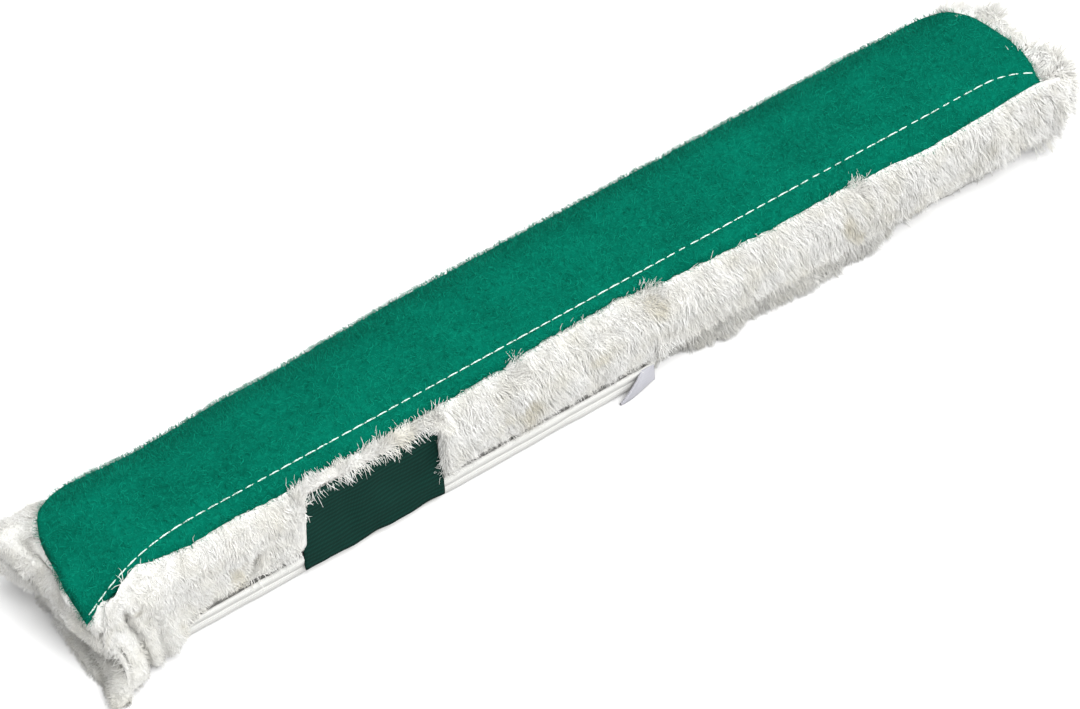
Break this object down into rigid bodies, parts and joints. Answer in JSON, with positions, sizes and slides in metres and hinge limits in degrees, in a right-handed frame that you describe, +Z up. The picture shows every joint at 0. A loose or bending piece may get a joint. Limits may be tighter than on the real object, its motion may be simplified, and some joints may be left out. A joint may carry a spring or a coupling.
{
  "type": "window scrubber sleeve",
  "caption": "White plush washer sleeve for a window scrubber T-bar, with a green scouring pad sewn over its top and back, a lifting front flap and a sewn-in label.",
  "frame": {"origin": "middle of the flat face that the sleeve rests on, under the centre of its length and depth", "axes": "+X along the sleeve, with the label towards -X; -Y is the front with the slit, the flap and the label; +Z is up, out of the scouring pad"},
  "size_m": [0.36, 0.056, 0.0375],
  "materials": {
    "plush": "white looped and cut polyester pile",
    "ground_cloth": "white woven backing cloth",
    "scouring_nonwoven": "green abrasive nonwoven, matt",
    "hem_tape": "smooth white tape",
    "hook_tape": "white hook tape",
    "loop_tape": "white loop tape",
    "woven_label": "dark green woven label, bare",
    "thread": "white sewing thread"
  },
  "bodies": {
    "sleeve": {"bar_tacks": "thread", "bed_pile": "plush", "bottom_pile": "plush", "closing_seam_allowance": "ground_cloth", "closing_seam_stitching": "thread", "front_cloth": "ground_cloth", "front_pile": "plush", "hook_strip": "hook_tape", "hook_strip_stitching": "thread", "left_end_cloth": "ground_cloth", "left_end_pile": "plush", "left_end_stitching": "thread", "lip_pile": "plush", "lower_hem": "hem_tape", "pad_front_stitching": "thread", "pad_rear_stitching": "thread", "pull_tab": "hem_tape", "right_end_cloth": "ground_cloth", "right_end_pile": "plush", "right_end_stitching": "thread", "scouring_pad": "scouring_nonwoven", "sleeve_cloth": "ground_cloth"},
    "flap": {"flap_cloth": "ground_cloth", "flap_pile": "plush", "flap_hem_tape": "hem_tape", "loop_strip": "loop_tape", "loop_strip_stitching": "thread"},
    "label": {"label": "woven_label", "label_stitching": "thread"}
  },
  "joints": [
    {"name": "flap_lift", "type": "hinge", "parent": "sleeve", "child": "flap", "pos_m": [0.0485, -0.0216, 0.0313], "axis": [-1, 0, 0], "range_deg": [0, 90]},
    {"name": "label_lift", "type": "hinge", "parent": "sleeve", "child": "label", "pos_m": [-0.07525, -0.0238, 0.03], "axis": [-1, 0, 0], "range_deg": [0, 120]}
  ]
}
